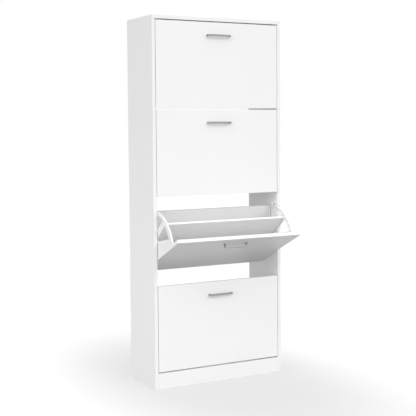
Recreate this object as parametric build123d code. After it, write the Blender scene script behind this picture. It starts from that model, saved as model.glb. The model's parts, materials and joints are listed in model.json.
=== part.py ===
"""A tall white shoe cabinet with four tilting compartments, as one solid per real piece.

Frame: millimetres, +Z up, the front faces -Y. The origin is on the floor, at mid width, in the
plane of the cabinet's front. Each compartment tilts about two short pins near its foot. Its pieces
are drawn closed about the pin line, in (u, v): u runs back from the pins and v runs up.
The third compartment from the top stands open; the other three are closed.
"""
import os
from math import cos, radians, sin, tan

from build123d import *

# ---- driving dimensions -------------------------------------------------------------------------
WIDTH = 676
DEPTH = 266
HEIGHT = 1690
BOARD = 16                      # carcass and flap boards
THIN_BOARD = 10                 # boards inside a compartment
CLEARANCE = 0.1                 # play of a board end in its socket
BOARD_GAP = 0.3                 # between boards that meet inside a compartment

# The row of flaps: number 1 is at the top, number 4 at the foot.
FLAP_COUNT = 4
FLAP_PITCH = 399
FLAP_HEIGHT = 393
FLAP_GAP = FLAP_PITCH - FLAP_HEIGHT
LOWEST_FLAP = 79                # height of the foot of flap 4
FLAP_SIDE_GAP = 2.5
OPEN_FLAP = 3
OPEN_ANGLE = 65

# The pin line of a compartment, behind the front plane and above the flap's foot.
PIVOT_BACK = 42
PIVOT_UP = 143.5

# Carcass boards.
PLINTH_HEIGHT = LOWEST_FLAP - FLAP_GAP
BOTTOM_TOP = 70
RAIL_HEIGHT = 100
MIDDLE_RAIL_FOOT = 1000
WALL_HOLE_SPACING = 480
WALL_HOLE_DIAMETER = 5.5
WALL_HOLE_BELOW_TOP = 46

# Plastic side bracket of a compartment: a web beside the cabinet's side, with a rim and ribs inside it.
BRACKET_OUTER = 319
BRACKET_DEPTH = 8
WEB = 2.5
RIB = 2.5
RIB_STEP = 2                    # the ribs stop this far outside the rim's inner edge
BRACKET_RADIUS = 193
BRACKET_FOOT = -128
BRACKET_REAR_MARGIN = 3         # of the web behind the back wall
BRACKET_FILLET = 6
SOCKET_DEPTH = 5
SOCKET_WALL = 2
BOSS_DIAMETER = 26
BOSS_LENGTH = 9.8
FLANGE = 3
FLANGE_WIDTH = 14
FLANGE_FOOT = -108
FLANGE_TOP = 184
FLANGE_SCREW_HEIGHTS = (-100, -40, 95, 165)
MOULDED_HOLE = (88.5, 134)
MOULDED_HOLE_DIAMETER = 8
MOULDED_HOLE_DEPTH = 6
MOULDED_HOLE_WALL = 1.8

# Three-sided openings in the bracket. Two of them end in an arc inside the rim.
WINDOW_FILLET = 5
FRONT_WINDOW_RADIUS = 171
FRONT_WINDOW_FOOT = 38
FRONT_WINDOW_REAR = 6           # ahead of the divider
FRONT_WINDOW_LEAN = 0.27        # back for each millimetre down, of its front edge
REAR_WINDOW_RADIUS = 180
REAR_WINDOW_FRONT = 14          # behind the divider
REAR_WINDOW_FLOOR = (135.7, 42.1)
REAR_WINDOW_RISE = 25.5         # degrees, of its lower edge
LOWER_WINDOW = ((44, -30), (52, -2), (110, 16))

# The lug on the bracket's rim meets the peg on the side panel when the compartment is open.
LUG_RADIUS = 208
LUG_LEAD = 28.9                 # degrees above the horizontal, closed
LUG_TAIL = 22
PEG_DIAMETER = 11.4
PEG_BACK = 22                   # behind the front plane
PEG_UP = 204.3                  # above the pin line

# Boards inside a compartment.
DIVIDER_TOP = (77, 156)         # front top edge
DIVIDER_TILT = 15               # from upright, leaning back at the top
BACK_WALL_REAR = (142.3, 14.2)  # a point of the back wall's rear face
BACK_WALL_ANGLE = 47            # above the horizontal
BACK_WALL_FOOT = -103
BACK_WALL_LENGTH = 227          # ends inside the bracket's rim
FRONT_FLOOR_TOP = -112
REAR_FLOOR_TOP = -50
REAR_FLOOR_REAR = 58.5

# Pull handle.
HANDLE_LENGTH = 122
HANDLE_HEIGHT = 8.5
HANDLE_PROJECTION = 20
HANDLE_BAR = 5
HANDLE_LEG = 8
HANDLE_BELOW_TOP = 60
HANDLE_OUTER_FILLET = 7
HANDLE_INNER_FILLET = 4
HANDLE_CHAMFER = 0.8
HANDLE_THREAD_DEPTH = 9

# Fasteners.
PIN_DIAMETER = 8
PIN_CLEARANCE = 0.05            # radial, in the bracket's bore
PIN_INSET = 0.5                 # from the bracket's inner edge
PIN_CHAMFER = 0.6
PIN_COLLAR = 14
COLLAR_PLAY = 0.2               # between a collar and the bracket's boss
HOLE_CLEARANCE = 0.05           # radial, round a fixed fastener
HOLE_SPARE = 0.5                # depth of a blind hole beyond its fastener
INSERT_DEPTH = 11               # of a fastener in a board's face
PEG_HEAD_INSET = 2              # from the bracket's inner edge
PEG_FILLET = 1.5
CAM_DIAMETER = 15
CAM_DEPTH = 12.4
CAM_PLAY = 0.2
CAM_SETBACK = 34                # from the meeting plane to the cam's centre
CAM_POCKET_DIAMETER = 8
CAM_POCKET_START = 9            # before the cam's centre
CAM_POCKET_LENGTH = 11
CAM_SLOT = (8, 1.8, 2)          # length, width and depth of each stroke of its cross
BOLT_THREAD = 5
BOLT_SHAFT = 6
BOLT_SHAFT_LENGTH = 26
BOLT_NECK = 4
BOLT_NECK_END = 32
BOLT_HEAD = 6.8
BOLT_HEAD_START = 31
BOLT_HEAD_LENGTH = 3
BOLT_BORE = 8
DOWEL_DIAMETER = 8
DOWEL_LENGTH = 32
DOWEL_CHAMFER = 0.8
SCREW_DIAMETER = 3.5
SCREW_LENGTH = 14
SCREW_HEAD = 7
SCREW_HEAD_HEIGHT = 2.4
SCREW_PASSAGE = 0.2             # radial, in the flange
DRIVER_PASSAGE = 0.4            # radial, round a screw's head
DRIVER_REACH = 12
HANDLE_SCREW_DIAMETER = 4
HANDLE_SCREW_LENGTH = 22
HANDLE_SCREW_HEAD = 8
HANDLE_SCREW_HEAD_HEIGHT = 2.8
HANDLE_SCREW_PASSAGE = 0.25     # radial, in the flap
CROSS_REACH = 0.3               # half a stroke of a screw's cross, for each millimetre of head
CROSS_WIDTH = 1
HEAD_ROUNDING = 0.45            # fillet of a pan head, for each millimetre of its height
CROSS_DEPTH = 1.2
CROSS_STROKES = (45, 135)       # degrees
OVERCUT = 1                     # how far a cutter passes a face

# Where the carcass fasteners sit.
CAM_ROWS = (50, 216)            # behind the front plane, at the top and bottom panels
PLINTH_CAM_UP = 40
PLINTH_DOWEL_UP = 18
RAIL_CAM_UP = 30                # above a rail's foot
RAIL_DOWEL_UP = 70

# ---- derived dimensions -------------------------------------------------------------------------
INNER_HALF = WIDTH / 2 - BOARD
TOP_UNDERSIDE = HEIGHT - BOARD
FLAP_HALF = INNER_HALF - FLAP_SIDE_GAP
FLAP_FRONT = -PIVOT_BACK
FLAP_BACK = BOARD - PIVOT_BACK
FLAP_FOOT = -PIVOT_UP
FLAP_TOP = FLAP_HEIGHT - PIVOT_UP
BRACKET_INNER = BRACKET_OUTER - BRACKET_DEPTH
WEB_INNER = BRACKET_OUTER - WEB
SHELF_HALF = WEB_INNER - CLEARANCE
SCREW_X = BRACKET_OUTER - FLANGE_WIDTH + (FLANGE_WIDTH - WEB) / 2
HANDLE_HOLE = HANDLE_LENGTH / 2 - HANDLE_LEG / 2
HANDLE_UP = FLAP_TOP - HANDLE_BELOW_TOP
BOTTOM_MIDDLE = BOTTOM_TOP - BOARD / 2
RAIL_MIDDLE = DEPTH - BOARD / 2
UPPER_RAIL_FOOT = TOP_UNDERSIDE - RAIL_HEIGHT
SIDE_MIDDLE = WIDTH / 2 - BOARD / 2
RIGHT = (1, 0, 0)
INWARD = (-1, 0, 0)
BACK = (0, 1, 0)
UP = (0, 0, 1)
DOWN = (0, 0, -1)


def flap_foot(number):
    """Height of the foot of a closed flap."""
    return LOWEST_FLAP + FLAP_PITCH * (FLAP_COUNT - number)


def pivot_height(number):
    return flap_foot(number) + PIVOT_UP


def box(x0, x1, y0, y1, z0, z1):
    """A block between two corners."""
    block = Box(x1 - x0, y1 - y0, z1 - z0, align=(Align.MIN, Align.MIN, Align.MIN))
    return Location((x0, y0, z0)) * block


def rod(start, direction, radius, length):
    """A round bar from a point along a direction."""
    place = Plane(origin=start, z_dir=direction)
    bar = Cylinder(radius, length, align=(Align.CENTER, Align.CENTER, Align.MIN))
    return place.location * bar


def outline(*points):
    """A flat closed shape from its corners."""
    return make_face(Polyline(*points, close=True))


def along_x(face, x0, x1):
    """A (u, v) shape made solid between two distances from the middle plane."""
    return extrude(Plane.YZ.offset(x0) * face, x1 - x0)


def mirrored(shape):
    """The left-hand twin of a right-hand piece."""
    return mirror(shape, about=Plane.YZ)


def single(shape):
    """The one solid of a shape, or a compound of all of them."""
    solids = shape.solids()
    if len(solids) == 1:
        return solids[0]
    return Compound(children=list(solids))


# ---- carcass fasteners --------------------------------------------------------------------------
# A joint's own axes: +Z runs from the meeting plane into the board that holds the cam or the longer
# half of the dowel, and +X towards the face that the cam is let into.
def joint_place(point, into, cam_face):
    return Plane(origin=point, x_dir=cam_face, z_dir=into).location


def cam_lock():
    """The round cam, slotted for the bolt's head, with a cross in its face."""
    face = BOARD / 2
    cam = rod((face - CAM_DEPTH, 0, CAM_SETBACK), RIGHT, CAM_DIAMETER / 2, CAM_DEPTH - CAM_PLAY)
    cam -= rod((0, 0, CAM_SETBACK - CAM_POCKET_START), UP, CAM_POCKET_DIAMETER / 2, CAM_POCKET_LENGTH)
    length, width, depth = CAM_SLOT
    for angle in CROSS_STROKES:
        slot = box(face - depth, face, -length / 2, length / 2, -width / 2, width / 2)
        cam -= Location((0, 0, CAM_SETBACK)) * Rotation(angle, 0, 0) * slot
    return cam


def cam_bolt():
    """Screw-in bolt: thread, shaft, neck and the head that the cam grips."""
    bolt = rod((0, 0, -INSERT_DEPTH), UP, BOLT_THREAD / 2, INSERT_DEPTH)
    bolt += rod((0, 0, 0), UP, BOLT_SHAFT / 2, BOLT_SHAFT_LENGTH)
    neck_start = BOLT_SHAFT_LENGTH - OVERCUT
    bolt += rod((0, 0, neck_start), UP, BOLT_NECK / 2, BOLT_NECK_END - neck_start)
    bolt += rod((0, 0, BOLT_HEAD_START), UP, BOLT_HEAD / 2, BOLT_HEAD_LENGTH)
    return bolt


def cam_joint_bores():
    face = BOARD / 2
    depth = CAM_DEPTH + CAM_PLAY
    radius = CAM_DIAMETER / 2 + HOLE_CLEARANCE
    bores = rod((face - depth, 0, CAM_SETBACK), RIGHT, radius, depth + OVERCUT)
    bores += rod((0, 0, 0), UP, BOLT_BORE / 2, CAM_SETBACK)
    return bores


def thread_bore():
    depth = INSERT_DEPTH + HOLE_SPARE
    return rod((0, 0, -depth), UP, BOLT_THREAD / 2 + HOLE_CLEARANCE, depth)


def dowel():
    peg = rod((0, 0, -INSERT_DEPTH), UP, DOWEL_DIAMETER / 2, DOWEL_LENGTH)
    return chamfer(peg.edges(), DOWEL_CHAMFER)


def dowel_bore():
    start = (0, 0, -INSERT_DEPTH - HOLE_SPARE)
    return rod(start, UP, DOWEL_DIAMETER / 2 + HOLE_CLEARANCE, DOWEL_LENGTH + 2 * HOLE_SPARE)


def right_cam_places():
    """Cam joints of the right-hand side panel."""
    places = [joint_place((INNER_HALF, BOARD / 2, PLINTH_CAM_UP), INWARD, BACK)]
    for foot in (MIDDLE_RAIL_FOOT, UPPER_RAIL_FOOT):
        places.append(joint_place((INNER_HALF, RAIL_MIDDLE, foot + RAIL_CAM_UP), INWARD, BACK))
    for y in CAM_ROWS:
        places.append(joint_place((INNER_HALF, y, BOTTOM_MIDDLE), INWARD, DOWN))
        places.append(joint_place((SIDE_MIDDLE, y, TOP_UNDERSIDE), DOWN, INWARD))
    return places


def right_dowel_places():
    """Dowels beside the cams of the right-hand side panel."""
    places = [joint_place((INNER_HALF, BOARD / 2, PLINTH_DOWEL_UP), INWARD, BACK)]
    for foot in (MIDDLE_RAIL_FOOT, UPPER_RAIL_FOOT):
        places.append(joint_place((INNER_HALF, RAIL_MIDDLE, foot + RAIL_DOWEL_UP), INWARD, BACK))
    places.append(joint_place((INNER_HALF, DEPTH / 2, BOTTOM_MIDDLE), INWARD, DOWN))
    places.append(joint_place((SIDE_MIDDLE, DEPTH / 2, TOP_UNDERSIDE), DOWN, INWARD))
    return places


def both_sides(shape, places):
    """A shape repeated at each right-hand place and at its mirror image."""
    right = [place * shape for place in places]
    return right + [mirrored(copy) for copy in right]


# ---- pins and pegs in the side panels -----------------------------------------------------------
def pivot_pins():
    """One pin for each bracket, with the collar that spaces the bracket off the panel."""
    pins = []
    start = BRACKET_INNER + PIN_INSET
    length = INNER_HALF - start + INSERT_DEPTH
    collar_length = INNER_HALF - BRACKET_INNER - BOSS_LENGTH - COLLAR_PLAY
    for number in range(1, FLAP_COUNT + 1):
        z = pivot_height(number)
        shank = rod((start, PIVOT_BACK, z), RIGHT, PIN_DIAMETER / 2, length)
        shank = chamfer(shank.edges().filter_by(GeomType.CIRCLE), PIN_CHAMFER)
        collar_start = (INNER_HALF - collar_length, PIVOT_BACK, z)
        pins.append(single(shank + rod(collar_start, RIGHT, PIN_COLLAR / 2, collar_length)))
    return pins


def stop_pegs():
    """White buffers that a closed flap rests on and that an open bracket's lug meets."""
    pegs = []
    start = BRACKET_INNER + PEG_HEAD_INSET
    for number in range(1, FLAP_COUNT + 1):
        z = pivot_height(number) + PEG_UP
        head = rod((start, PEG_BACK, z), RIGHT, PEG_DIAMETER / 2, INNER_HALF - start)
        head = fillet(head.edges().filter_by(GeomType.CIRCLE).sort_by(Axis.X)[0], PEG_FILLET)
        shank = rod((INNER_HALF, PEG_BACK, z), RIGHT, BOLT_THREAD / 2, INSERT_DEPTH)
        pegs.append(single(head + shank))
    return pegs


def side_panel_bores():
    """Blind holes for the pins and the pegs."""
    bores = []
    depth = INSERT_DEPTH + HOLE_SPARE
    for number in range(1, FLAP_COUNT + 1):
        z = pivot_height(number)
        for y, up, diameter in ((PIVOT_BACK, 0, PIN_DIAMETER), (PEG_BACK, PEG_UP, BOLT_THREAD)):
            bores.append(rod((INNER_HALF, y, z + up), RIGHT, diameter / 2 + HOLE_CLEARANCE, depth))
    return bores


# ---- carcass ------------------------------------------------------------------------------------
def build_carcass():
    """The fixed boards and everything that stays in them."""
    cams = both_sides(cam_lock(), right_cam_places())
    bolts = both_sides(cam_bolt(), right_cam_places())
    dowels = both_sides(dowel(), right_dowel_places())
    cutters = both_sides(cam_joint_bores(), right_cam_places())
    cutters += both_sides(thread_bore(), right_cam_places())
    cutters += both_sides(dowel_bore(), right_dowel_places())

    right_panel = box(INNER_HALF, WIDTH / 2, 0, DEPTH, 0, TOP_UNDERSIDE)
    right_panel = right_panel - cutters - side_panel_bores()
    top = box(-WIDTH / 2, WIDTH / 2, 0, DEPTH, TOP_UNDERSIDE, HEIGHT) - cutters
    plinth = box(-INNER_HALF, INNER_HALF, 0, BOARD, 0, PLINTH_HEIGHT) - cutters
    bottom = box(-INNER_HALF, INNER_HALF, BOARD, DEPTH, BOTTOM_TOP - BOARD, BOTTOM_TOP) - cutters
    rails = []
    for foot in (UPPER_RAIL_FOOT, MIDDLE_RAIL_FOOT):
        rail = box(-INNER_HALF, INNER_HALF, DEPTH - BOARD, DEPTH, foot, foot + RAIL_HEIGHT)
        rails.append(rail - cutters)
    for x in (-WALL_HOLE_SPACING / 2, WALL_HOLE_SPACING / 2):
        start = (x, DEPTH - BOARD - OVERCUT, TOP_UNDERSIDE - WALL_HOLE_BELOW_TOP)
        rails[0] -= rod(start, BACK, WALL_HOLE_DIAMETER / 2, BOARD + 2 * OVERCUT)

    pins = pivot_pins()
    pegs = stop_pegs()
    return {
        "side_panel_left": mirrored(right_panel),
        "side_panel_right": right_panel,
        "top_panel": top,
        "plinth": plinth,
        "bottom_panel": bottom,
        "rear_rail_upper": rails[0],
        "rear_rail_middle": rails[1],
        "cam_locks": Compound(children=[single(cam) for cam in cams]),
        "cam_bolts": Compound(children=[single(bolt) for bolt in bolts]),
        "wood_dowels": Compound(children=[single(peg) for peg in dowels]),
        "pivot_pins": Compound(children=pins + [mirrored(pin) for pin in pins]),
        "stop_pegs": Compound(children=pegs + [mirrored(peg) for peg in pegs]),
    }


# ---- boards inside a compartment, as (u, v) outlines ---------------------------------------------
def tilted_board(corner, angle, length, thickness):
    """A board's end outline: from a corner along an angle, with its thickness to the right of it."""
    along = (cos(radians(angle)), sin(radians(angle)))
    across = (along[1] * thickness, -along[0] * thickness)
    end = (corner[0] + along[0] * length, corner[1] + along[1] * length)
    return outline(corner, end, (end[0] + across[0], end[1] + across[1]),
                   (corner[0] + across[0], corner[1] + across[1]))


def divider_front(v):
    """Distance back of the divider's front face at a height."""
    return DIVIDER_TOP[0] - (DIVIDER_TOP[1] - v) * tan(radians(DIVIDER_TILT))


BACK_WALL_ALONG = (cos(radians(BACK_WALL_ANGLE)), sin(radians(BACK_WALL_ANGLE)))
DIVIDER_SLICE = THIN_BOARD / cos(radians(DIVIDER_TILT))     # the divider's thickness, measured level


def back_wall_outline():
    """The back wall runs from just clear of the divider to just inside the bracket's rim."""
    along = BACK_WALL_ALONG
    inner = (BACK_WALL_REAR[0] - along[1] * THIN_BOARD, BACK_WALL_REAR[1] + along[0] * THIN_BOARD)
    foot_shift = (BACK_WALL_FOOT - inner[1]) / along[1]
    foot = (inner[0] + foot_shift * along[0], BACK_WALL_FOOT)
    return tilted_board(foot, BACK_WALL_ANGLE, BACK_WALL_LENGTH, THIN_BOARD)


def divider_outline():
    divider_foot = FRONT_FLOOR_TOP - THIN_BOARD
    corner = (divider_front(divider_foot), divider_foot)
    length = (DIVIDER_TOP[1] - divider_foot) / cos(radians(DIVIDER_TILT))
    return tilted_board(corner, 90 - DIVIDER_TILT, length, THIN_BOARD)


def level_board(front, rear, top):
    """The end outline of a board that lies level."""
    return outline((front, top), (rear, top), (rear, top - THIN_BOARD), (front, top - THIN_BOARD))


def front_floor_outline():
    """From the bracket's rim to the divider."""
    rear = divider_front(FRONT_FLOOR_TOP - THIN_BOARD) - BOARD_GAP
    return level_board(FLAP_BACK + RIB + BOARD_GAP, rear, FRONT_FLOOR_TOP)


def rear_floor_outline():
    """From the divider to the back wall."""
    front = divider_front(REAR_FLOOR_TOP) + DIVIDER_SLICE + BOARD_GAP
    return level_board(front, REAR_FLOOR_REAR, REAR_FLOOR_TOP)


BOARD_OUTLINES = {
    "divider": divider_outline(),
    "back_wall": back_wall_outline(),
    "front_floor": front_floor_outline(),
    "rear_floor": rear_floor_outline(),
}


# ---- side bracket -------------------------------------------------------------------------------
def bracket_outline():
    """A sector about the pins, cut by the flap's inner face and by a line behind the back wall."""
    along = BACK_WALL_ALONG
    rear = (BACK_WALL_REAR[0] + along[1] * BRACKET_REAR_MARGIN,
            BACK_WALL_REAR[1] - along[0] * BRACKET_REAR_MARGIN)
    foot_shift = (BRACKET_FOOT - rear[1]) / along[1]
    foot = (rear[0] + foot_shift * along[0], BRACKET_FOOT)
    far = (rear[0] + BRACKET_RADIUS * along[0], rear[1] + BRACKET_RADIUS * along[1])
    wedge = outline((FLAP_BACK, BRACKET_FOOT), foot, far, (FLAP_BACK, far[1] + BRACKET_RADIUS))
    sector = (wedge & Circle(BRACKET_RADIUS)).face()
    rear_corners = sector.vertices().filter_by(lambda corner: corner.X > FLAP_BACK + 1)
    return fillet(rear_corners, BRACKET_FILLET)


def front_window():
    """Opening between the flap and the divider, closed by an arc inside the rim."""
    rear_foot = divider_front(FRONT_WINDOW_FOOT) - FRONT_WINDOW_REAR
    rear_top = divider_front(BRACKET_RADIUS) - FRONT_WINDOW_REAR
    front_top = rear_foot - FRONT_WINDOW_LEAN * (BRACKET_RADIUS - FRONT_WINDOW_FOOT)
    wedge = outline((rear_foot, FRONT_WINDOW_FOOT), (rear_top, BRACKET_RADIUS), (front_top, BRACKET_RADIUS))
    window = (wedge & Circle(FRONT_WINDOW_RADIUS)).face()
    return fillet(window.vertices(), WINDOW_FILLET)


def rear_window():
    """Opening between the divider and the back wall, closed by an arc inside the rim."""
    rise = tan(radians(REAR_WINDOW_RISE))
    lean = tan(radians(DIVIDER_TILT))
    offset_from_divider = DIVIDER_SLICE + REAR_WINDOW_FRONT
    front_at_zero = divider_front(0) + offset_from_divider
    floor_u, floor_v = REAR_WINDOW_FLOOR
    corner_v = (floor_v + rise * (front_at_zero - floor_u)) / (1 - rise * lean)
    corner = (divider_front(corner_v) + offset_from_divider, corner_v)
    far = (BRACKET_RADIUS, floor_v + rise * (BRACKET_RADIUS - floor_u))
    top = (divider_front(BRACKET_RADIUS) + offset_from_divider, BRACKET_RADIUS)
    wedge = outline(corner, far, (BRACKET_RADIUS, BRACKET_RADIUS), top)
    window = (wedge & Circle(REAR_WINDOW_RADIUS)).face()
    return fillet(window.vertices(), WINDOW_FILLET)


def lower_window():
    """Small opening low down between the divider and the back wall."""
    window = outline(*LOWER_WINDOW)
    return fillet(window.vertices(), WINDOW_FILLET)


def ring(face, width):
    """A band of one width round a closed shape."""
    return offset(face, width) - face


def stiffening_bar(start, end, width):
    """A straight rib between two points."""
    along = Vector(end[0] - start[0], end[1] - start[1])
    middle = ((start[0] + end[0]) / 2, (start[1] + end[1]) / 2, 0)
    turn = along.get_signed_angle(Vector(1, 0), Vector(0, 0, -1))
    return Location(middle, (0, 0, turn)) * Rectangle(along.length, width)


def polar(radius, angle):
    return (radius * cos(radians(angle)), radius * sin(radians(angle)))


def lug_outline():
    """The stop lug: a tooth on the rim between two radial faces."""
    inner = BRACKET_RADIUS - OVERCUT
    return outline(polar(inner, LUG_TAIL), polar(LUG_RADIUS, LUG_TAIL + 1),
                   polar(LUG_RADIUS, LUG_LEAD), polar(inner, LUG_LEAD))


def bracket_ribs(windows):
    """Ribs round the windows and out from the boss, before they are trimmed."""
    ribs = ring(windows[0], RIB) + ring(windows[1], RIB) + ring(windows[2], RIB)
    boss_edge = BOSS_DIAMETER / 2 - OVERCUT
    window_corner = (divider_front(FRONT_WINDOW_FOOT) - FRONT_WINDOW_REAR, FRONT_WINDOW_FOOT)
    for start, end in (
        (polar(boss_edge, 45), window_corner),
        (polar(boss_edge, 0), LOWER_WINDOW[1]),
        (polar(boss_edge, -90), (0, BRACKET_FOOT)),
        (polar(boss_edge, 180), (FLAP_BACK, 0)),
    ):
        ribs += stiffening_bar(start, end, RIB)
    return ribs + Circle(BOSS_DIAMETER / 2)


def bracket():
    """The right-hand bracket: web outside; rim, ribs, boss, board sockets and screw flange inside."""
    plate = bracket_outline()
    windows = [front_window(), rear_window(), lower_window()]
    hole = Location(MOULDED_HOLE) * Circle(MOULDED_HOLE_DIAMETER / 2)
    sockets = []
    board_ends = []
    for shape in BOARD_OUTLINES.values():
        loose = offset(shape, CLEARANCE, kind=Kind.INTERSECTION)
        board_ends.append(loose)
        sockets.append(offset(loose, SOCKET_WALL, kind=Kind.INTERSECTION))
    hole_boss = Location(MOULDED_HOLE) * Circle(MOULDED_HOLE_DIAMETER / 2 + MOULDED_HOLE_WALL) - board_ends
    web = plate - windows
    rim = plate - offset(plate, -RIB, kind=Kind.INTERSECTION) - board_ends
    ribs = (bracket_ribs(windows) & plate) - windows - board_ends
    socket_walls = ((Sketch() + sockets) & plate) - windows - board_ends

    body = along_x(web, WEB_INNER, BRACKET_OUTER)
    body += along_x(rim, BRACKET_INNER, BRACKET_OUTER)
    body += along_x(ribs, BRACKET_INNER + RIB_STEP, BRACKET_OUTER)
    body += along_x(lug_outline(), BRACKET_INNER, BRACKET_OUTER)
    body += along_x(hole_boss, BRACKET_INNER, BRACKET_OUTER)
    body += along_x(socket_walls, WEB_INNER - SOCKET_DEPTH, WEB_INNER)
    body += rod((BRACKET_INNER, 0, 0), RIGHT, BOSS_DIAMETER / 2, BOSS_LENGTH)
    body += box(BRACKET_OUTER - FLANGE_WIDTH, BRACKET_OUTER, FLAP_BACK, FLAP_BACK + FLANGE,
                FLANGE_FOOT, FLANGE_TOP)
    body -= along_x(hole, BRACKET_OUTER - MOULDED_HOLE_DEPTH, BRACKET_OUTER + OVERCUT)
    pin_bore = PIN_DIAMETER / 2 + PIN_CLEARANCE
    body -= rod((BRACKET_INNER - OVERCUT, 0, 0), RIGHT, pin_bore, BOSS_LENGTH + 2 * OVERCUT)
    for v in FLANGE_SCREW_HEIGHTS:
        screw_start = (SCREW_X, FLAP_BACK - OVERCUT, v)
        body -= rod(screw_start, BACK, SCREW_DIAMETER / 2 + SCREW_PASSAGE, FLANGE + DRIVER_REACH)
        head_start = (SCREW_X, FLAP_BACK + FLANGE, v)
        body -= rod(head_start, BACK, SCREW_HEAD / 2 + DRIVER_PASSAGE, DRIVER_REACH)
    return single(body)


# ---- flap, handle and screws --------------------------------------------------------------------
def flap_panel():
    """The front board, bored for its bracket screws and its handle screws."""
    panel = box(-FLAP_HALF, FLAP_HALF, FLAP_FRONT, FLAP_BACK, FLAP_FOOT, FLAP_TOP)
    bores = []
    for side in (-1, 1):
        for v in FLANGE_SCREW_HEIGHTS:
            start = (side * SCREW_X, FLAP_BACK - SCREW_LENGTH + FLANGE - HOLE_SPARE, v)
            bores.append(rod(start, BACK, SCREW_DIAMETER / 2 + HOLE_CLEARANCE, SCREW_LENGTH))
        start = (side * HANDLE_HOLE, FLAP_FRONT - OVERCUT, HANDLE_UP)
        handle_bore = HANDLE_SCREW_DIAMETER / 2 + HANDLE_SCREW_PASSAGE
        bores.append(rod(start, BACK, handle_bore, BOARD + 2 * OVERCUT))
    return panel - bores


def handle():
    """A flat bar bent to a bridge, with a threaded blind hole in each leg."""
    front = FLAP_FRONT - HANDLE_PROJECTION
    grip_front = front + HANDLE_BAR
    gap_width = HANDLE_LENGTH - 2 * HANDLE_LEG
    centred = (Align.CENTER, Align.MIN)
    outer = Location((0, front)) * Rectangle(HANDLE_LENGTH, HANDLE_PROJECTION, align=centred)
    outer = fillet(outer.vertices().filter_by(lambda corner: corner.Y < grip_front), HANDLE_OUTER_FILLET)
    gap = Location((0, grip_front)) * Rectangle(gap_width, HANDLE_PROJECTION, align=centred)
    gap = fillet(gap.vertices().filter_by(lambda corner: corner.Y < FLAP_FRONT), HANDLE_INNER_FILLET)
    bow = extrude(Plane.XY.offset(HANDLE_UP - HANDLE_HEIGHT / 2) * (outer - gap), HANDLE_HEIGHT)
    front_edges = bow.edges().filter_by(lambda edge: edge.center().Y < front + HANDLE_BAR / 2)
    bow = chamfer(front_edges.filter_by(Axis.X), HANDLE_CHAMFER)
    for side in (-1, 1):
        start = (side * HANDLE_HOLE, FLAP_FRONT - HANDLE_THREAD_DEPTH, HANDLE_UP)
        thread = HANDLE_SCREW_DIAMETER / 2 + HOLE_CLEARANCE
        bow -= rod(start, BACK, thread, HANDLE_THREAD_DEPTH + OVERCUT)
    return bow


def pan_screw(start, diameter, length, head_diameter, head_height):
    """A pan-head screw that points forward, with a cross in its head. start is under the head."""
    x, y, z = start
    shank = rod((x, y - length, z), BACK, diameter / 2, length + OVERCUT)
    head = rod((x, y, z), BACK, head_diameter / 2, head_height)
    head = fillet(head.edges().filter_by(GeomType.CIRCLE).sort_by(Axis.Y)[-1], head_height * HEAD_ROUNDING)
    screw = shank + head
    reach = head_diameter * CROSS_REACH
    for angle in CROSS_STROKES:
        slot = box(-reach, reach, -CROSS_DEPTH, OVERCUT, -CROSS_WIDTH / 2, CROSS_WIDTH / 2)
        screw -= Location((x, y + head_height, z)) * Rotation(0, angle, 0) * slot
    return single(screw)


def bracket_screws():
    screws = []
    for side in (-1, 1):
        for v in FLANGE_SCREW_HEIGHTS:
            start = (side * SCREW_X, FLAP_BACK + FLANGE, v)
            screws.append(pan_screw(start, SCREW_DIAMETER, SCREW_LENGTH, SCREW_HEAD, SCREW_HEAD_HEIGHT))
    return Compound(children=screws)


def handle_screws():
    screws = []
    for side in (-1, 1):
        start = (side * HANDLE_HOLE, FLAP_BACK, HANDLE_UP)
        screws.append(pan_screw(start, HANDLE_SCREW_DIAMETER, HANDLE_SCREW_LENGTH, HANDLE_SCREW_HEAD,
                                HANDLE_SCREW_HEAD_HEIGHT))
    return Compound(children=screws)


def build_compartment():
    """The moving pieces of one compartment, closed, about its pin line."""
    right = bracket()
    pieces = {
        "panel": flap_panel(),
        "bracket_left": mirrored(right),
        "bracket_right": right,
        "handle": handle(),
        "handle_screws": handle_screws(),
        "bracket_screws": bracket_screws(),
    }
    for name, shape in BOARD_OUTLINES.items():
        pieces[name] = along_x(shape, -SHELF_HALF, SHELF_HALF)
    return pieces


# ---- write the parts ----------------------------------------------------------------------------
def compartment_place(number):
    """Where a compartment stands at rest: one of them is tilted open."""
    angle = OPEN_ANGLE if number == OPEN_FLAP else 0
    return Location((0, PIVOT_BACK, pivot_height(number))) * Rotation(angle, 0, 0)


os.makedirs("parts", exist_ok=True)
for name, shape in build_carcass().items():
    export_step(shape, f"parts/{name}.step")
compartment = build_compartment()
for number in range(1, FLAP_COUNT + 1):
    for name, shape in compartment.items():
        export_step(compartment_place(number) * shape, f"parts/flap_{number}_{name}.step")
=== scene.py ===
"""Looks of the shoe cabinet: melamine boards with edge bands, moulded brackets, brushed handles.

Metres, in the row's frame: +Z up, the front faces -Y, the origin on the floor under the front's middle.
"""
import json
import math

import bpy
from mathutils import Matrix, Vector

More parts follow.
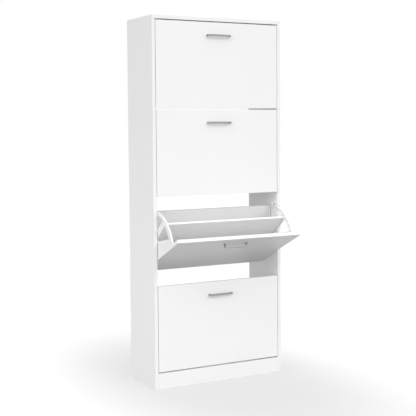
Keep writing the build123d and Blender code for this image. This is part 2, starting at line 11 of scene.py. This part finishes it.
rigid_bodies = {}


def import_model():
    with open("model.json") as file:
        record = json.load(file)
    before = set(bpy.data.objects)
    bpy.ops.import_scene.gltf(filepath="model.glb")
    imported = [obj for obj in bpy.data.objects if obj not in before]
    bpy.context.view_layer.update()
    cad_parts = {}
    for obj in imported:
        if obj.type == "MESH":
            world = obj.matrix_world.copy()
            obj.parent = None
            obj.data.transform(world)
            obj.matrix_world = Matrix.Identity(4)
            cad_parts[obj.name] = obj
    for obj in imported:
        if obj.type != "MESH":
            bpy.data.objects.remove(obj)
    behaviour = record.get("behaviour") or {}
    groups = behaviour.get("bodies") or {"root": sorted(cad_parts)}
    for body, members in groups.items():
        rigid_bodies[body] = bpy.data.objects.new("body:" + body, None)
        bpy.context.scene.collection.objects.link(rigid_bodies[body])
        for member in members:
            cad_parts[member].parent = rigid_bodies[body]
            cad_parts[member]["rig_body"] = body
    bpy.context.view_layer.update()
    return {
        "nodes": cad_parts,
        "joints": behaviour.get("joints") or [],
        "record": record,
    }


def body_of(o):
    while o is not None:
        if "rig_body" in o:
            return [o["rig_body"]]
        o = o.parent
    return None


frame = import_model()

MM = 0.001
WHITE = (0.87, 0.87, 0.868)
NOISE_LOW, NOISE_HIGH = 0.3, 0.7    # the range that a noise texture mostly keeps to

# Board surfaces: the material slots of a board's mesh, and how its banded faces are told.
BOARD_SLOTS = ("white_board", "flap_board", "thin_board")
FACING, BAND, RAW = 0, 1, 2
EDGE_TOLERANCE = 0.02 * MM          # a face this near the outermost one lies on the board's edge
BAND_ALIGNMENT = 0.6                # least cosine between such a face and a banded direction

# Rounding of the CAD nodes' edges.
WELD_DISTANCE = 0.002 * MM
BOARD_BEVEL = 0.6 * MM
FASTENER_BEVEL = 0.15 * MM
SLOT_BEVEL = {"white_plastic": 0.35 * MM, "handle_metal": 0.7 * MM}
BEVEL_SEGMENTS = 2
BEVEL_ANGLE = 35                    # degrees; flatter edges stay as they are

# Light from the world, against 1 from above. Each pair is where a change of level starts and ends,
# as a part of a direction of length 1.
FLOOR_BOUNCE = 0.36                 # from below
FRONT_LIGHT = 1.06
BACK_LIGHT = 0.6
HORIZON = (-0.1, 0.05)              # along Z
FRONT_TO_BACK = (-0.4, 0.6)         # along Y

# The floor, with painted shade: darkest inside an ellipse about the cabinet. Pairs are near the cabinet
# and far from it.
FLOOR_SIZE = 60.0
FLOOR_DROP = 0.2 * MM               # below the cabinet's feet
FLOOR_GREY = 0.64
PAINTED_SHADE_WIDTH, PAINTED_SHADE_LENGTH = 0.62, 1.15
PAINTED_SHADE_REACH = (0.35, 1.35)          # in widths and lengths of the ellipse
# the floor's own glow, dimmed near the cabinet as painted shade and plain white far from it
PAINTED_SHADE_GLOW = (0.87, 1.04)
GLOW_SHARE = (0.7, 1.0)             # the rest of the floor's look is its lit surface


# ---- node helpers -------------------------------------------------------------------------------
class Shader:
    """A material under construction: a Principled shader and the nodes that feed it."""

    def __init__(self, name, **sockets):
        self.material = bpy.data.materials.new(name)
        self.material.use_nodes = True
        self.tree = self.material.node_tree
        self.shader = self.tree.nodes["Principled BSDF"]
        for socket, value in sockets.items():
            self.shader.inputs[socket.replace("_", " ")].default_value = value
        self.place = self.tree.nodes.new("ShaderNodeTexCoord").outputs["Object"]

    def node(self, kind, **inputs):
        """A node whose inputs are values or links. Names use _ for a space."""
        made = self.tree.nodes.new(kind)
        for name, value in inputs.items():
            socket = made.inputs[name.replace("_", " ")]
            if isinstance(value, bpy.types.NodeSocket):
                self.tree.links.new(value, socket)
            else:
                socket.default_value = value
        return made

    def stretched(self, x, y, z):
        """Object coordinates scaled along each axis."""
        return self.node("ShaderNodeMapping", Vector=self.place, Scale=(x, y, z)).outputs["Vector"]

    def noise(self, scale, detail=2.0, roughness=0.5, place=None):
        made = self.node("ShaderNodeTexNoise", Vector=place or self.place, Scale=scale,
                         Detail=detail, Roughness=roughness)
        return made.outputs["Fac"]

    def ramp(self, factor, *stops):
        """A colour ramp from (position, colour) pairs."""
        made = self.tree.nodes.new("ShaderNodeValToRGB")
        self.tree.links.new(factor, made.inputs["Fac"])
        elements = made.color_ramp.elements
        while len(elements) < len(stops):
            elements.new(0.5)
        for element, (position, colour) in zip(elements, stops):
            element.position = position
            element.color = (*colour, 1)
        return made.outputs["Color"]

    def between(self, factor, low, high):
        """A noise factor mapped to a range."""
        made = self.node("ShaderNodeMapRange", Value=factor)
        made.inputs["From Min"].default_value = NOISE_LOW
        made.inputs["From Max"].default_value = NOISE_HIGH
        made.inputs["To Min"].default_value = low
        made.inputs["To Max"].default_value = high
        return made.outputs["Result"]

    def mix(self, factor, first, second):
        made = self.tree.nodes.new("ShaderNodeMix")
        made.data_type = "RGBA"
        self.tree.links.new(factor, made.inputs["Factor"])
        self.tree.links.new(first, made.inputs["A"])
        self.tree.links.new(second, made.inputs["B"])
        return made.outputs["Result"]

    def bump(self, height, strength, distance, before=None):
        made = self.node("ShaderNodeBump", Height=height, Strength=strength, Distance=distance)
        if before is not None:
            self.tree.links.new(before, made.inputs["Normal"])
        return made.outputs["Normal"]

    def feed(self, **links):
        for socket, output in links.items():
            self.tree.links.new(output, self.shader.inputs[socket.replace("_", " ")])
        return self.material


# ---- materials: noise scales are per metre, and bump distances are in metres ---------------------
def melamine(name, white, roughness):
    """White melamine facing: even colour, a faint pearl texture and a soft sheen."""
    made = Shader(name)
    tone = made.ramp(made.noise(3.0, 3.0), (0.35, tuple(c * 0.985 for c in white)), (0.65, white))
    pearl = made.noise(1400.0, 2.0)
    swell = made.noise(18.0, 1.0)
    normal = made.bump(pearl, 0.16, 0.05 * MM, made.bump(swell, 0.25, 0.12 * MM))
    gloss = made.between(made.noise(60.0, 3.0), roughness - 0.05, roughness + 0.05)
    return made.feed(Base_Color=tone, Roughness=gloss, Normal=normal)


def edge_band(name, white):
    """Plastic edge band: a touch smoother than the facing, with faint lines along the edge."""
    made = Shader(name)
    tone = made.ramp(made.noise(6.0, 2.0), (0.35, tuple(c * 0.98 for c in white)), (0.65, white))
    lines = made.noise(300.0, 2.0, place=made.stretched(0.02, 1.0, 1.0))
    gloss = made.between(made.noise(80.0, 2.0), 0.30, 0.40)
    return made.feed(Base_Color=tone, Roughness=gloss, Normal=made.bump(lines, 0.12, 0.05 * MM))


def chipboard(name):
    """Raw sawn edge: pressed wood chips, paler and darker, with a torn surface."""
    made = Shader(name, Roughness=0.9)
    chips = made.tree.nodes.new("ShaderNodeTexVoronoi")
    made.tree.links.new(made.stretched(1.0, 1.0, 2.6), chips.inputs["Vector"])
    chips.inputs["Scale"].default_value = 420.0
    chips.inputs["Randomness"].default_value = 1.0
    split = made.node("ShaderNodeSeparateColor", Color=chips.outputs["Color"])
    wood = made.ramp(split.outputs["Red"], (0.0, (0.30, 0.19, 0.10)), (0.35, (0.52, 0.37, 0.21)),
                     (1.0, (0.74, 0.59, 0.39)))
    dust = made.ramp(made.noise(900.0, 4.0), (0.3, (0.45, 0.32, 0.19)), (0.7, (0.70, 0.56, 0.38)))
    colour = made.mix(made.between(made.noise(240.0, 2.0), 0.15, 0.75), wood, dust)
    fibres = made.bump(made.noise(1500.0, 3.0), 0.4, 0.15 * MM)
    normal = made.bump(chips.outputs["Distance"], 0.5, 0.3 * MM, fibres)
    return made.feed(Base_Color=colour, Normal=normal)


def moulded_plastic(name, white):
    """White moulded plastic with the fine grain of a spark-finished mould."""
    made = Shader(name)
    tone = made.ramp(made.noise(14.0, 2.0), (0.35, tuple(c * 0.97 for c in white)), (0.65, white))
    gloss = made.between(made.noise(90.0, 2.0), 0.34, 0.44)
    grain = made.noise(2200.0, 3.0, 0.6)
    flow = made.noise(40.0, 1.0)
    normal = made.bump(grain, 0.2, 0.06 * MM, made.bump(flow, 0.2, 0.1 * MM))
    return made.feed(Base_Color=tone, Roughness=gloss, Normal=normal)


def brushed_metal(name, colour, roughness):
    """Satin metal brushed along X: long fine scratches in its gloss and its surface."""
    made = Shader(name, Metallic=1.0, Anisotropic=0.5)
    scratches = made.noise(1.0, 4.0, 0.7, made.stretched(18.0, 3200.0, 3200.0))
    cloud = made.noise(45.0, 3.0)
    tone = made.ramp(scratches, (0.3, tuple(c * 0.84 for c in colour)), (0.7, colour))
    gloss = made.between(cloud, roughness - 0.05, roughness + 0.06)
    return made.feed(Base_Color=tone, Roughness=gloss, Normal=made.bump(scratches, 0.3, 0.03 * MM))


def zinc_plate(name):
    """Zinc-plated steel: bluish grey with a mottled gloss."""
    made = Shader(name, Metallic=1.0)
    mottle = made.noise(700.0, 4.0, 0.6)
    tone = made.ramp(mottle, (0.3, (0.50, 0.51, 0.53)), (0.7, (0.68, 0.69, 0.70)))
    gloss = made.between(made.noise(260.0, 3.0), 0.26, 0.42)
    return made.feed(Base_Color=tone, Roughness=gloss, Normal=made.bump(mottle, 0.2, 0.04 * MM))


def beech(name):
    """Turned beech: pale pinkish wood with short darker flecks along the grain."""
    made = Shader(name, Roughness=0.6)
    grain = made.noise(1.0, 4.0, 0.6, made.stretched(60.0, 900.0, 900.0))
    tone = made.ramp(grain, (0.3, (0.50, 0.34, 0.19)), (0.7, (0.72, 0.55, 0.36)))
    return made.feed(Base_Color=tone, Normal=made.bump(grain, 0.4, 0.1 * MM))


materials = {
    "board": melamine("melamine_white", WHITE, 0.42),
    "flap": melamine("melamine_flap", WHITE, 0.40),
    "band": edge_band("edge_band_white", WHITE),
    "raw": chipboard("raw_chipboard"),
    "plastic": moulded_plastic("plastic_white", WHITE),
    "handle": brushed_metal("nickel_brushed", (0.36, 0.357, 0.35), 0.36),
    "zinc": zinc_plate("zinc_plate"),
    "beech": beech("beech"),
}
SLOT_MATERIAL = {
    "white_plastic": "plastic",
    "handle_metal": "handle",
    "zinc": "zinc",
    "beech": "beech",
}


# ---- surfaces of the CAD nodes ------------------------------------------------------------------
def closed_turn(node):
    """The turn that brings a node's directions from rest to its closed compartment."""
    body = body_of(frame["nodes"][node])[0]
    for joint in frame["joints"]:
        if joint["child"] == body:
            return Matrix.Rotation(math.radians(joint["range_deg"][0]), 3, "X")
    return Matrix.Identity(3)


def banded_sides(node):
    """The directions, with the compartment closed, in which a board's edge carries a band."""
    front, back, up, down = Vector((0, -1, 0)), Vector((0, 1, 0)), Vector((0, 0, 1)), Vector((0, 0, -1))
    left, right = Vector((-1, 0, 0)), Vector((1, 0, 0))
    if node.endswith("_panel") and node.startswith("flap"):
        return [left, right, up, down]
    if node == "top_panel":
        return [front, left, right]
    if node.startswith("side_panel"):
        return [front, up]
    if node.startswith("rear_rail"):
        return [up, down]
    if node in ("plinth", "bottom_panel"):
        return [up, front]
    return [up, back]


def surface_board(node):
    """Facing on a board's two broad faces, band on its banded edges and raw chipboard elsewhere."""
    mesh = frame["nodes"][node].data
    facing = materials["flap"] if "flap" in node and node.endswith("_panel") else materials["board"]
    mesh.materials.clear()
    for material in (facing, materials["band"], materials["raw"]):
        mesh.materials.append(material)
    turn = closed_turn(node)
    areas, reach, faces = {}, {}, []
    for polygon in mesh.polygons:
        normal = turn @ polygon.normal
        height = (turn @ polygon.center) @ normal
        key = tuple(round(c, 2) for c in normal)
        axis = tuple(abs(c) for c in key)
        areas[axis] = areas.get(axis, 0.0) + polygon.area
        reach[key] = max(reach.get(key, -math.inf), height)
        faces.append((polygon, normal, height, key, axis))
    broad = max(areas, key=areas.get)
    sides = banded_sides(node)
    for polygon, normal, height, key, axis in faces:
        outer = height > reach[key] - EDGE_TOLERANCE
        if axis == broad:
            polygon.material_index = FACING
        elif outer and any(normal @ side > BAND_ALIGNMENT for side in sides):
            polygon.material_index = BAND
        else:
            polygon.material_index = RAW


def soften(piece, width):
    """Rounds a CAD node's sharp edges a little, as a worn tool or a mould leaves them."""
    mesh = piece.data
    for name in ("custom_normal", "sharp_edge", "sharp_face"):
        if name in mesh.attributes:
            mesh.attributes.remove(mesh.attributes[name])
    mesh.polygons.foreach_set("use_smooth", [True] * len(mesh.polygons))
    weld = piece.modifiers.new("weld", "WELD")
    weld.merge_threshold = WELD_DISTANCE
    bevel = piece.modifiers.new("bevel", "BEVEL")
    bevel.width = width
    bevel.segments = BEVEL_SEGMENTS
    bevel.limit_method = "ANGLE"
    bevel.angle_limit = math.radians(BEVEL_ANGLE)
    bevel.use_clamp_overlap = False
    bevel.loop_slide = False
    bevel.harden_normals = True


for entry in frame["record"]["subparts"]:
    node, slot = entry["node"], entry["material_slot"]
    piece = frame["nodes"][node]
    if slot in BOARD_SLOTS:
        surface_board(node)
        soften(piece, BOARD_BEVEL)
    else:
        piece.data.materials.clear()
        piece.data.materials.append(materials[SLOT_MATERIAL[slot]])
        soften(piece, SLOT_BEVEL.get(slot, FASTENER_BEVEL))


# ---- stage: floor, light and camera -------------------------------------------------------------
def build_floor():
    """A pale floor, with painted shade near the cabinet, that brightens to plain white away from it."""
    bpy.ops.mesh.primitive_plane_add(size=FLOOR_SIZE, location=(0, 0, -FLOOR_DROP))
    floor = bpy.context.object
    floor.name = "studio_floor"
    floor.visible_diffuse = False
    made = Shader("studio_floor", Roughness=0.9)
    made.shader.inputs["Base Color"].default_value = (FLOOR_GREY, FLOOR_GREY, FLOOR_GREY, 1)
    made.shader.inputs["Specular IOR Level"].default_value = 0.0
    nodes, links = made.tree.nodes, made.tree.links
    # Painted shade: inside an ellipse about the cabinet the floor's glow is dimmer, and its lit surface
    # takes a larger share.
    ellipse = made.node("ShaderNodeMapping", Vector=made.place,
                        Scale=(1 / PAINTED_SHADE_WIDTH, 1 / PAINTED_SHADE_LENGTH, 1.0))
    distance = made.node("ShaderNodeVectorMath")
    distance.operation = "LENGTH"
    links.new(ellipse.outputs["Vector"], distance.inputs[0])
    painted_shade_fade = made.node("ShaderNodeMapRange", Value=distance.outputs["Value"])
    painted_shade_fade.interpolation_type = "SMOOTHSTEP"
    painted_shade_fade.inputs["From Min"].default_value, painted_shade_fade.inputs["From Max"].default_value = PAINTED_SHADE_REACH
    glow_strength_with_painted_shade = made.node("ShaderNodeMapRange", Value=painted_shade_fade.outputs["Result"])
    glow_strength_with_painted_shade.inputs["To Min"].default_value, glow_strength_with_painted_shade.inputs["To Max"].default_value = PAINTED_SHADE_GLOW
    glow = made.node("ShaderNodeEmission", Strength=glow_strength_with_painted_shade.outputs["Result"])
    glow.inputs["Color"].default_value = (1, 1, 1, 1)
    share = made.node("ShaderNodeMapRange", Value=painted_shade_fade.outputs["Result"])
    share.inputs["To Min"].default_value, share.inputs["To Max"].default_value = GLOW_SHARE
    blend = nodes.new("ShaderNodeMixShader")
    links.new(share.outputs["Result"], blend.inputs["Fac"])
    links.new(made.shader.outputs["BSDF"], blend.inputs[1])
    links.new(glow.outputs["Emission"], blend.inputs[2])
    links.new(blend.outputs["Shader"], nodes["Material Output"].inputs["Surface"])
    floor.data.materials.append(made.material)


def build_world():
    """White as seen; as light, white from the front and above, dimmer from behind and below."""
    world = bpy.data.worlds.new("studio")
    bpy.context.scene.world = world
    world.use_nodes = True
    nodes, links = world.node_tree.nodes, world.node_tree.links

    def graded(value, start, end, low, high):
        made = nodes.new("ShaderNodeMapRange")
        made.interpolation_type = "SMOOTHSTEP"
        links.new(value, made.inputs["Value"])
        for name, number in (("From Min", start), ("From Max", end), ("To Min", low), ("To Max", high)):
            made.inputs[name].default_value = number
        return made.outputs["Result"]

    coordinate = nodes.new("ShaderNodeTexCoord")
    split = nodes.new("ShaderNodeSeparateXYZ")
    links.new(coordinate.outputs["Generated"], split.inputs["Vector"])
    product = nodes.new("ShaderNodeMath")
    product.operation = "MULTIPLY"
    links.new(graded(split.outputs["Z"], *HORIZON, FLOOR_BOUNCE, 1.0), product.inputs[0])
    links.new(graded(split.outputs["Y"], *FRONT_TO_BACK, FRONT_LIGHT, BACK_LIGHT), product.inputs[1])
    light = nodes["Background"]
    light.inputs["Color"].default_value = (1, 1, 1, 1)
    links.new(product.outputs["Value"], light.inputs["Strength"])
    seen = nodes.new("ShaderNodeBackground")
    seen.inputs["Color"].default_value = (1, 1, 1, 1)
    path = nodes.new("ShaderNodeLightPath")
    choice = nodes.new("ShaderNodeMixShader")
    links.new(path.outputs["Is Camera Ray"], choice.inputs["Fac"])
    links.new(light.outputs["Background"], choice.inputs[1])
    links.new(seen.outputs["Background"], choice.inputs[2])
    links.new(choice.outputs["Shader"], nodes["World Output"].inputs["Surface"])


def add_sun(name, toward, strength, softness):
    """A very soft distant light that shines along a direction. Its softness is in degrees."""
    light = bpy.data.lights.new(name, "SUN")
    light.energy = strength
    light.angle = math.radians(softness)
    holder = bpy.data.objects.new(name, light)
    bpy.context.scene.collection.objects.link(holder)
    holder.rotation_euler = Vector(toward).to_track_quat("-Z", "Y").to_euler()


def add_softbox(name, location, target, size, power):
    """A rectangular light of a power in watts, turned to a target."""
    light = bpy.data.lights.new(name, "AREA")
    light.shape = "RECTANGLE"
    light.size, light.size_y = size
    light.energy = power
    holder = bpy.data.objects.new(name, light)
    bpy.context.scene.collection.objects.link(holder)
    holder.location = location
    holder.rotation_euler = (Vector(target) - Vector(location)).to_track_quat("-Z", "Y").to_euler()


def build_camera():
    """Stands to the left of the front and a little above mid height, looking slightly down."""
    lens_mm, sensor_mm = 84.41, 36
    place = Vector((-2.2268, -3.9362, 1.1811))
    yaw, pitch, roll = (math.radians(angle) for angle in (28.842, -3.418, -0.460))
    data = bpy.data.cameras.new("camera")
    data.sensor_width = sensor_mm
    data.lens = lens_mm
    data.shift_y = -0.05
    data.clip_start, data.clip_end = 0.1, 100
    camera = bpy.data.objects.new("camera", data)
    bpy.context.scene.collection.objects.link(camera)
    turn = Matrix.Rotation(-yaw, 3, "Z") @ Matrix.Rotation(math.radians(90) + pitch, 3, "X")
    turn = turn @ Matrix.Rotation(roll, 3, "Z")
    camera.matrix_world = Matrix.Translation(place) @ turn.to_4x4()
    bpy.context.scene.camera = camera


build_floor()
build_world()
add_sun("key", toward=(-0.25, 0.8, -0.55), strength=0.67, softness=25)
add_sun("fill_left", toward=(0.85, 0.35, -0.35), strength=1.0, softness=60)
add_softbox("floor_glow", location=(-1.4, -1.2, 0.25), target=(-0.3, 0.1, 0.2), size=(1.2, 0.4), power=2.0)
build_camera()
bpy.context.scene.view_settings.view_transform = "Standard"
